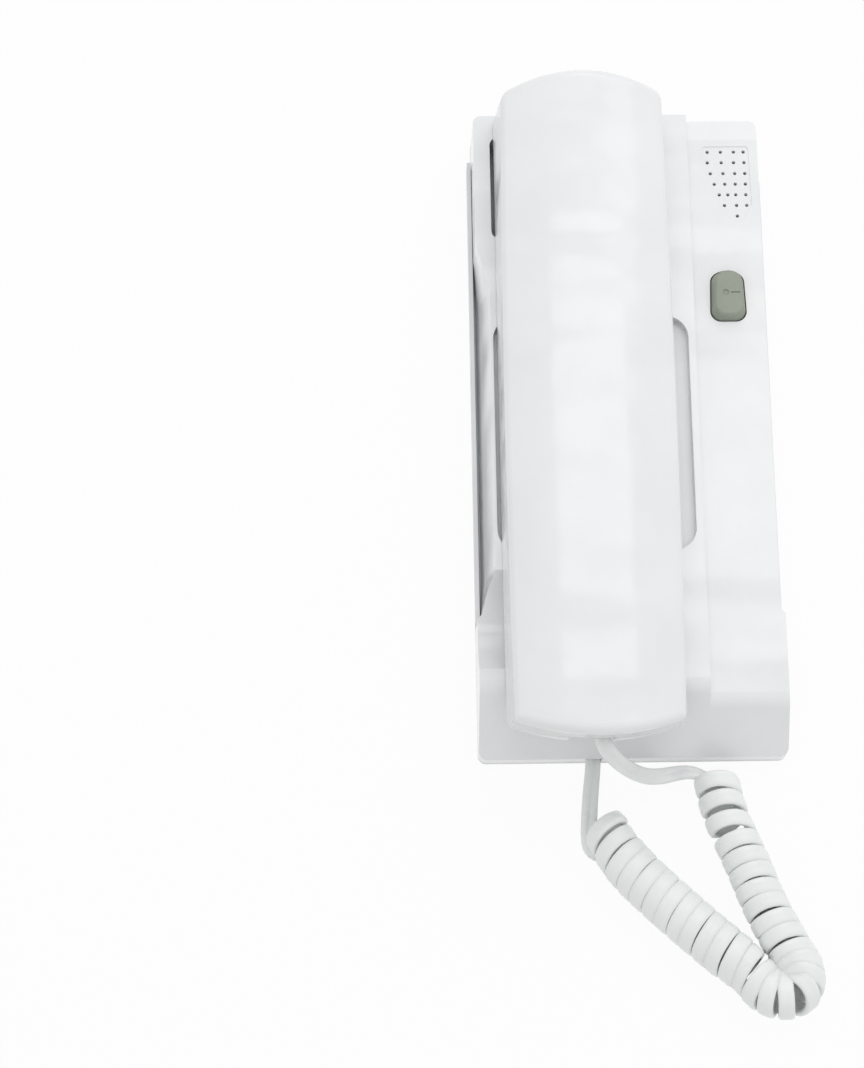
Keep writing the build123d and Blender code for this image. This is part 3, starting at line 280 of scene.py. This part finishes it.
# ---------------------------------------------------------------- lines
def route_points(name, controls, per_span):
    """Points in metres along the smooth line that the control points, in mm, steer."""
    data = bpy.data.curves.new(name, "CURVE")
    data.dimensions = "3D"
    data.resolution_u = per_span
    spline = data.splines.new("NURBS")
    spline.points.add(len(controls) - 1)
    for point, (x, y, z) in zip(spline.points, controls):
        point.co = (x * MM, y * MM, z * MM, 1.0)
    spline.order_u = 3
    spline.use_endpoint_u = True
    obj = bpy.data.objects.new(name, data)
    mesh = bpy.data.meshes.new_from_object(obj)
    pts = [v.co.copy() for v in mesh.vertices]
    bpy.data.meshes.remove(mesh)
    bpy.data.objects.remove(obj)
    bpy.data.curves.remove(data)
    return pts


def lengths(pts):
    """Length along a line of points at each of them."""
    out = [0.0]
    for a, b in zip(pts, pts[1:]):
        out.append(out[-1] + (b - a).length)
    return out


def at(pts, run, s):
    """Point and heading at a length along a line of points."""
    s = min(max(s, 0.0), run[-1])
    lo, hi = 0, len(run) - 2
    while lo < hi:
        mid = (lo + hi + 1) // 2
        if run[mid] <= s:
            lo = mid
        else:
            hi = mid - 1
    span = max(run[lo + 1] - run[lo], 1e-9)
    t = (s - run[lo]) / span
    return pts[lo].lerp(pts[lo + 1], t), (pts[lo + 1] - pts[lo]).normalized()


def smooth(t):
    """Smooth step from 0 to 1."""
    t = min(1.0, max(0.0, t))
    return t * t * (3 - 2 * t)


def bell(share, middle, reach):
    """1 in the middle, falling smoothly to 0 at its reach on either side."""
    return smooth(1 - abs(share - middle) / reach)


# ---------------------------------------------------------------- coil
# Lengths are in mm. A share is a place along the coil's axis: 0 at the base's end, 1 at the handset's.
RIBBON_W = 4.9
RIBBON_T = 2.1
COIL_RHO = 6.0
COIL_Z = 7.1
AXIS = [
    (-10.8, -119.8, COIL_Z),
    (-7.2, -127.4, COIL_Z),
    (-1.4, -135.2, COIL_Z),
    (8.4, -144.8, COIL_Z),
    (24.0, -158.7, COIL_Z),
    (31.6, -164.6, COIL_Z),
    (37.4, -171.8, COIL_Z),
    (45.6, -172.0, COIL_Z),
    (47.6, -165.4, COIL_Z),
    (43.4, -157.8, COIL_Z),
    (37.8, -147.0, COIL_Z),
    (33.0, -134.0, COIL_Z),
    (27.8, -121.5, COIL_Z),
    (25.2, -113.5, COIL_Z + 0.6),
    (24.4, -107.9, COIL_Z + 1.2),
]
AXIS_PER_SPAN = 24

# The winding. Its angle is in degrees, from the side over the top; a loop's underside lies at -90.
STEPS = 56
STEP_ANGLE = 360.0 / STEPS
FIRST_ANGLE = -90.0
LEAN = 2.5
BEND = (0.415, 0.6)
BEND_SPAN = BEND[1] - BEND[0]
BEND_MIDDLE = 0.5 * (BEND[0] + BEND[1])
BEND_REACH = 0.75 * BEND_SPAN

# The winding changes its hand at the underside of a loop in the bend, and slows down around that place.
TURN_SHARE = BEND[0] + 0.55 * BEND_SPAN
TURN_BACK = 270.0
TURN_NEAR = 0.3 * STEP_ANGLE
SLOW_RATE = 0.25
SLOW_ANGLE = 45.0
TURN_BACK_OPENS = 2.6

# Advance along the axis per turn, and what opens or closes it: change, share in the middle, reach.
PITCH = 4.72
PITCH_BELLS = [
    (3.0, 0.0, 0.09),
    (-1.2, BEND_MIDDLE, BEND_REACH),
    (1.7, 0.43, 0.035),
    (-0.9, 0.57, 0.05),
]
RIGHT_LEG_OPENS, RIGHT_LEG_FROM, RIGHT_LEG_OVER = 0.3, 0.55, 0.1
SLACK_OPENS, SLACK_FROM, SLACK_OVER, SLACK_TO, SLACK_FADE = 1.9, 0.82, 0.08, 0.97, 0.06

# Loops are wider in the bend and along the left leg.
WIDE_BEND = 0.6
WIDE_LEG, LEG_FROM, LEG_TO, LEG_FADE = 0.95, 0.02, 0.46, 0.1

# Small unevenness from loop to loop, at the tops and along the axis.
WOBBLE, WOBBLE_PER_DEGREE, WOBBLE_PER_METRE = 0.25, 0.0171, 260
DRIFT, DRIFT_PER_DEGREE, DRIFT_PHASE = 0.3, 0.0093, 1.3

# The first loop's top shows more of its edge.
EDGE_ON = 1.8
EDGE_ON_ANGLE = 330.0


def coil_pitch(share):
    pitch = PITCH
    for change, middle, reach in PITCH_BELLS:
        pitch += change * bell(share, middle, reach)
    pitch += RIGHT_LEG_OPENS * smooth((share - RIGHT_LEG_FROM) / RIGHT_LEG_OVER)
    slack = smooth((share - SLACK_FROM) / SLACK_OVER) * smooth((SLACK_TO - share) / SLACK_FADE)
    return pitch + SLACK_OPENS * slack


def coil_widening(share):
    leg = smooth((LEG_TO - share) / LEG_FADE) * smooth((share - LEG_FROM) / LEG_FADE)
    return max(WIDE_BEND * bell(share, BEND_MIDDLE, BEND_REACH), WIDE_LEG * leg)


def coil_line():
    """Points of the winding and the outward way at each.

    It is right-handed on the left leg and left-handed on the right leg.
    """
    axis = route_points("coil_axis", AXIS, AXIS_PER_SPAN)
    run = lengths(axis)
    total = run[-1]
    turn_at = TURN_SHARE * total
    s = 0.0
    angle = FIRST_ANGLE
    way = 1.0
    turned = None
    pts, outs = [], []
    while s < total:
        share = s / total
        pitch = coil_pitch(share)
        rate = 1.0
        if s > turn_at:
            to_go = (TURN_BACK - angle) % 360.0 if turned is None else turned - angle
            rate = SLOW_RATE + (1.0 - SLOW_RATE) * smooth(to_go / SLOW_ANGLE)
            pitch += TURN_BACK_OPENS * (1.0 - rate)
            if turned is None and to_go < TURN_NEAR:
                turned = angle
                way = -1.0
        centre, heading = at(axis, run, s)
        across = Vector((-heading.y, heading.x, 0.0)).normalized()
        turn = math.radians(angle)
        out = across * math.cos(turn) + UP * math.sin(turn)
        top = max(out.z, 0.0)
        wide = coil_widening(share)
        wobble = WOBBLE * math.sin(angle * WOBBLE_PER_DEGREE + s * WOBBLE_PER_METRE) * top
        drift = DRIFT * math.sin(angle * DRIFT_PER_DEGREE + DRIFT_PHASE) + LEAN * heading.y * out.z
        rho = COIL_RHO + wide + wobble
        pts.append(centre + UP * (wide * MM) + heading * (drift * MM) + out * (rho * MM))
        edge_on = EDGE_ON * smooth(1.0 - (angle - FIRST_ANGLE) / EDGE_ON_ANGLE) * top
        outs.append(out - heading * edge_on)
        angle += STEP_ANGLE * way * rate
        s += pitch * MM / STEPS
    return pts, outs


# ---------------------------------------------------------------- cord
BASE_EXIT = (-12.0, -97.0, 4.5)

# The tails' control points, each with the way in which the cord's flat side faces there.
BASE_TAIL = [
    (BASE_EXIT, (0.5, 0, 0.9)),
    ((-12.3, -103.0, 4.5), (0.45, 0, 0.9)),
    ((-13.3, -111.0, 3.9), (0.3, 0, 1)),
    ((-14.0, -119.0, 3.9), (0.1, 0, 1)),
    ((-14.4, -126.5, 4.2), (-0.5, -0.3, 0.8)),
    ((-12.8, -131.6, 2.8), (-0.8, -0.6, 0.0)),
]
HAND_TAIL = [
    ((17.6, -105.4, 8.4), (0, 0.9, 1)),
    ((12.4, -105.6, 6.4), (0, 0.5, 1)),
    ((7.4, -106.8, 7.6), (0, 0, 1)),
    ((2.4, -107.4, 12.0), (0.2, -0.4, 1)),
    ((-3.3, -106.3, 19.0), (0.4, -0.8, 0.6)),
    ((-8.8, -103.4, 27.0), (0.5, -0.8, 0.3)),
    ((-11.6, -100.4, 32.0), (0.6, -0.7, 0.2)),
    ((-12.8, -96.6, 33.2), (0.6, -0.7, 0.2)),
]
COIL_SKIP = 4
CORD_PER_SPAN = 4
LOOK_AHEAD = 60


def cord_line():
    """Control points of the whole cord with the way each one faces, then its smooth line."""
    coil, outs = coil_line()
    ctrl = [Vector(p) * MM for p, _ in BASE_TAIL] + coil[::COIL_SKIP]
    ctrl += [Vector(p) * MM for p, _ in HAND_TAIL]
    side = [Vector(n) for _, n in BASE_TAIL] + outs[::COIL_SKIP]
    side += [Vector(n) for _, n in HAND_TAIL]
    return ctrl, side, route_points("cord_line", [p / MM for p in ctrl], CORD_PER_SPAN)


def nearest_marks(line, ctrl):
    """Index of the line's nearest point to each control point, in order."""
    marks = []
    start = 0
    for c in ctrl:
        ahead = range(start, min(start + LOOK_AHEAD, len(line)))
        start = min(ahead, key=lambda k: (line[k] - c).length)
        marks.append(start)
    return marks


def ribbon_frame(line, ctrl, side):
    """Headings and face normals along the smooth line, from the way each control point faces."""
    marks = nearest_marks(line, ctrl)
    dirs, norms = [], []
    i = 0
    for k in range(len(line)):
        while i < len(marks) - 2 and marks[i + 1] <= k:
            i += 1
        span = max(marks[i + 1] - marks[i], 1)
        t = min(max((k - marks[i]) / span, 0.0), 1.0)
        face = side[i].lerp(side[i + 1], t)
        heading = (line[min(k + 1, len(line) - 1)] - line[max(k - 1, 0)]).normalized()
        dirs.append(heading)
        norms.append((face - heading * face.dot(heading)).normalized())
    return dirs, norms


# Half of the ribbon's section, in shares of its width and thickness.
EDGE = [
    (-0.1, -0.5), (-0.26, -0.5), (-0.38, -0.47), (-0.455, -0.36), (-0.495, -0.17), (-0.495, 0.17),
    (-0.455, 0.36), (-0.38, 0.46), (-0.24, 0.5), (-0.12, 0.5),
]
GROOVE_U = -0.05
GROOVE_DEPTH = 0.1
CORE_U = 0.3
CORE_DROP = 0.03

# The groove is shallower along the coil than at the cord's two ends.
COIL_GROOVE_LOSS = 0.85
TAIL_GROOVE = 38.0
TAIL_GROOVE_FADE = 20.0


def ribbon_section(groove):
    """The twin cord's section, with the groove that parts the two cores."""
    half = EDGE + [(GROOVE_U, 0.5 - GROOVE_DEPTH * groove)]
    ring = [(u, v - CORE_DROP * (1 - groove) * (abs(u) > CORE_U)) for u, v in half]
    return ring + [(-u, v) for u, v in reversed(ring)]


def sweep_ribbon(name, line, dirs, norms):
    """A flat twin cord swept along the line, its section turned by the normals."""
    bm = bmesh.new()
    rings = []
    run = lengths(line)
    for p, heading, face, gone in zip(line, dirs, norms, run):
        across = heading.cross(face)
        to_end = min(gone, run[-1] - gone) / MM
        groove = 1.0 - COIL_GROOVE_LOSS * smooth((to_end - TAIL_GROOVE) / TAIL_GROOVE_FADE)
        rings.append([bm.verts.new(p + across * (u * RIBBON_W * MM) + face * (v * RIBBON_T * MM))
                      for u, v in ribbon_section(groove)])
    m = len(rings[0])
    for r0, r1 in zip(rings, rings[1:]):
        for i in range(m):
            bm.faces.new((r0[i], r0[(i + 1) % m], r1[(i + 1) % m], r1[i]))
    bm.faces.new(list(reversed(rings[0])))
    bm.faces.new(rings[-1])
    bmesh.ops.recalc_face_normals(bm, faces=bm.faces)
    mesh = bpy.data.meshes.new(name)
    bm.to_mesh(mesh)
    bm.free()
    for poly in mesh.polygons:
        poly.use_smooth = True
    obj = bpy.data.objects.new(name, mesh)
    bpy.context.scene.collection.objects.link(obj)
    return obj


def make_cord():
    ctrl, side, line = cord_line()
    dirs, norms = ribbon_frame(line, ctrl, side)
    obj = sweep_ribbon("curly_cord", line, dirs, norms)
    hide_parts("cord_base_tail", "cord_coil", "cord_handset_tail")
    obj.data.materials.append(MATS["cord_pvc"])
    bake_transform(obj)


make_cord()

# ---------------------------------------------------------------- floor
FLOOR_HALF = 3.0
FLOOR_Z = -0.2 * MM
FLOOR_GREY = 0.84
FLOOR_ROUGHNESS = 0.9
FLOOR_SPECULAR = 0.1
FLOOR_WHITE_SHARE = 0.94


def show_white(mat, share):
    """Camera, glossy and clear rays see that share of plain white over the surface's own shading."""
    nodes, links = mat.node_tree.nodes, mat.node_tree.links
    path = nodes.new("ShaderNodeLightPath")
    top = path.outputs["Is Camera Ray"]
    for other in ("Is Glossy Ray", "Is Transmission Ray"):
        pick = nodes.new("ShaderNodeMath")
        pick.operation = "MAXIMUM"
        links.new(top, pick.inputs[0])
        links.new(path.outputs[other], pick.inputs[1])
        top = pick.outputs[0]
    part = nodes.new("ShaderNodeMath")
    part.operation = "MULTIPLY"
    part.inputs[1].default_value = share
    links.new(top, part.inputs[0])
    glow = nodes.new("ShaderNodeEmission")
    glow.inputs["Color"].default_value = (1, 1, 1, 1)
    glow.inputs["Strength"].default_value = 1.0
    mix = nodes.new("ShaderNodeMixShader")
    links.new(part.outputs[0], mix.inputs[0])
    links.new(nodes["Principled BSDF"].outputs[0], mix.inputs[1])
    links.new(glow.outputs[0], mix.inputs[2])
    links.new(mix.outputs[0], nodes["Material Output"].inputs["Surface"])


def make_floor():
    mesh = bpy.data.meshes.new("floor")
    bm = bmesh.new()
    bmesh.ops.create_grid(bm, x_segments=2, y_segments=2, size=FLOOR_HALF)
    bm.to_mesh(mesh)
    bm.free()
    obj = bpy.data.objects.new("floor", mesh)
    obj.location = (0, 0, FLOOR_Z)
    bpy.context.scene.collection.objects.link(obj)
    mat, _, _, bsdf = new_material("floor")
    bsdf.inputs["Base Color"].default_value = (*grey(FLOOR_GREY), 1)
    bsdf.inputs["Roughness"].default_value = FLOOR_ROUGHNESS
    bsdf.inputs["Specular IOR Level"].default_value = FLOOR_SPECULAR
    show_white(mat, FLOOR_WHITE_SHARE)
    mesh.materials.append(mat)


make_floor()

# ---------------------------------------------------------------- light
# Strength of the tent away from the bright way and towards it, and where the change begins and ends.
TENT_DIM = 0.72
TENT_BRIGHT = 0.77
BRIGHT_WAY = (0.56, 0.16, 0.81)
DIM_BELOW = -0.35
BRIGHT_ABOVE = 0.75

# Name: place, the point it is aimed at, size along x and y, watts.
SOFT_BOXES = {
    "key": ((0.35, 0.85, 0.95), (0, 0, 0), (1.0, 0.6), 2.0),
    "overhead": ((0.058, 0.25, 0.9), (0.058, 0.25, 0), (0.8, 0.26), 1.15),
}


def soft_box(name, place, aim, size, watts):
    data = bpy.data.lights.new(name, "AREA")
    data.shape = "RECTANGLE"
    data.size, data.size_y = size
    data.energy = watts
    obj = bpy.data.objects.new(name, data)
    obj.location = place
    obj.rotation_mode = "QUATERNION"
    obj.rotation_quaternion = (Vector(place) - Vector(aim)).to_track_quat("Z", "Y")
    bpy.context.scene.collection.objects.link(obj)


def make_world():
    """A soft studio tent, a little dimmer low down on the left."""
    world = bpy.data.worlds.new("world")
    bpy.context.scene.world = world
    world.use_nodes = True
    nodes, links = world.node_tree.nodes, world.node_tree.links
    back = nodes["Background"]
    back.inputs["Color"].default_value = (1, 1, 1, 1)
    coord = nodes.new("ShaderNodeTexCoord")
    dot = nodes.new("ShaderNodeVectorMath")
    dot.operation = "DOT_PRODUCT"
    dot.inputs[1].default_value = BRIGHT_WAY
    links.new(coord.outputs["Generated"], dot.inputs[0])
    span = nodes.new("ShaderNodeMapRange")
    span.interpolation_type = "SMOOTHSTEP"
    span.inputs["From Min"].default_value = DIM_BELOW
    span.inputs["From Max"].default_value = BRIGHT_ABOVE
    span.inputs["To Min"].default_value = TENT_DIM
    span.inputs["To Max"].default_value = TENT_BRIGHT
    links.new(dot.outputs["Value"], span.inputs["Value"])
    links.new(span.outputs["Result"], back.inputs["Strength"])


make_world()
for box, settings in SOFT_BOXES.items():
    soft_box(box, *settings)
bpy.context.scene.view_settings.view_transform = "Standard"
